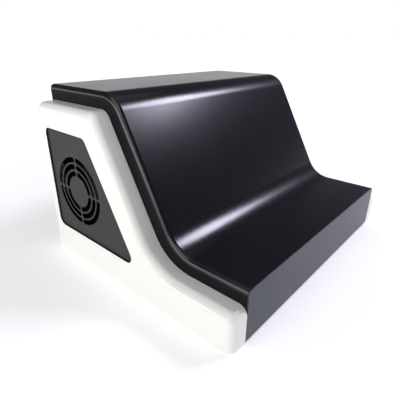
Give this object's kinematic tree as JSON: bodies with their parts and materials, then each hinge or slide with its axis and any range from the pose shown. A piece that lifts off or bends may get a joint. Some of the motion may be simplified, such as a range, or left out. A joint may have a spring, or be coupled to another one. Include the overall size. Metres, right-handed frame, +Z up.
{
  "type": "nail dust collector",
  "caption": "Desktop manicure dust collector with a low front hand rest, a tall rear chamber, side fans behind slotted grilles and a pull-out rear filter.",
  "frame": {"origin": "on the ground under the centre of the bounding box", "axes": "+Z up; -Y towards the low front lip, +Y towards the tall rear face with the filter; +X to the right seen from the front"},
  "size_m": [0.332, 0.276, 0.1887],
  "materials": {
    "white_shell": "gloss",
    "cover_paint": "satin powder coat",
    "front_cap_paint": "satin",
    "dark_panel": "fine moulded grain",
    "black_plastic": "satin",
    "gasket_rubber": "matte",
    "base_sheet": "powder coat",
    "seal_foam": "closed-cell foam",
    "frame_plastic": "moulded",
    "filter_cloth": "pleated non-woven",
    "grille_plastic": "fine moulded grain",
    "tab_rubber": "matte",
    "switch_plastic": "semi-gloss",
    "rocker_plastic": "semi-gloss",
    "contact_brass": "bright",
    "plated_steel": "zinc plated",
    "shaft_steel": "ground",
    "knob_plastic": "moulded",
    "board_laminate": "solder mask",
    "component_black": "moulded",
    "lead_jacket": "PVC jacket",
    "foot_rubber": "matte",
    "screw_steel": "black oxide",
    "fan_plastic": "glass-filled",
    "stator_steel": "laminated",
    "magnet_ferrite": "sintered"
  },
  "bodies": {
    "housing": {"base_plate": "base_sheet", "base_screws": "screw_steel", "board_parts": "component_black", "board_screws": "screw_steel", "board_standoffs": "contact_brass", "bracket_screws": "screw_steel", "bushing_nut": "plated_steel", "cheek_screws": "screw_steel", "control_board": "board_laminate", "cover_brackets": "plated_steel", "fan_screws": "screw_steel", "filter_bay": "black_plastic", "foot_screws": "screw_steel", "front_cap": "front_cap_paint", "inlet_lead": "lead_jacket", "inlet_nut": "plated_steel", "inlet_terminals": "contact_brass", "left_cheek": "white_shell", "left_fan_bearings": "shaft_steel", "left_fan_frame": "fan_plastic", "left_fan_lead": "lead_jacket", "left_fan_stator": "stator_steel", "left_side_plate": "black_plastic", "left_vent_gasket": "gasket_rubber", "left_vent_panel": "dark_panel", "potentiometer": "plated_steel", "power_inlet": "switch_plastic", "rear_panel": "black_plastic", "rear_screws": "screw_steel", "right_cheek": "white_shell", "right_fan_bearings": "shaft_steel", "right_fan_frame": "fan_plastic", "right_fan_lead": "lead_jacket", "right_fan_stator": "stator_steel", "right_side_plate": "black_plastic", "right_vent_gasket": "gasket_rubber", "right_vent_panel": "dark_panel", "rubber_feet": "foot_rubber", "switch_housing": "switch_plastic", "switch_lead": "lead_jacket", "switch_terminals": "contact_brass", "top_cover": "cover_paint"},
    "left_rotor": {"left_fan_rotor": "fan_plastic", "left_fan_shaft": "shaft_steel", "left_fan_magnet": "magnet_ferrite"},
    "right_rotor": {"right_fan_rotor": "fan_plastic", "right_fan_shaft": "shaft_steel", "right_fan_magnet": "magnet_ferrite"},
    "filter_cartridge": {"filter_seal": "seal_foam", "filter_frame": "frame_plastic", "filter_media": "filter_cloth", "intake_grille": "grille_plastic", "pull_tab": "tab_rubber"},
    "rocker": {"power_rocker": "rocker_plastic"},
    "knob": {"speed_knob": "knob_plastic", "knob_stem": "shaft_steel"}
  },
  "joints": [
    {"name": "left_fan_spin", "type": "hinge", "parent": "housing", "child": "left_rotor", "pos_m": [-0.13, 0.066, 0.0866], "axis": [1, 0, 0], "continuous": true},
    {"name": "right_fan_spin", "type": "hinge", "parent": "housing", "child": "right_rotor", "pos_m": [0.13, 0.066, 0.0866], "axis": [1, 0, 0], "continuous": true},
    {"name": "filter_slide", "type": "slide", "parent": "housing", "child": "filter_cartridge", "axis": [0, 1, 0], "range_m": [0, 0.06]},
    {"name": "power_rocker_tilt", "type": "hinge", "parent": "housing", "child": "rocker", "pos_m": [0.06, 0.1205, 0.029], "axis": [0, 0, 1], "range_deg": [-14, 0]},
    {"name": "speed_knob_turn", "type": "hinge", "parent": "housing", "child": "knob", "pos_m": [0, 0.132, 0.029], "axis": [0, 1, 0], "range_deg": [-135, 135]}
  ]
}
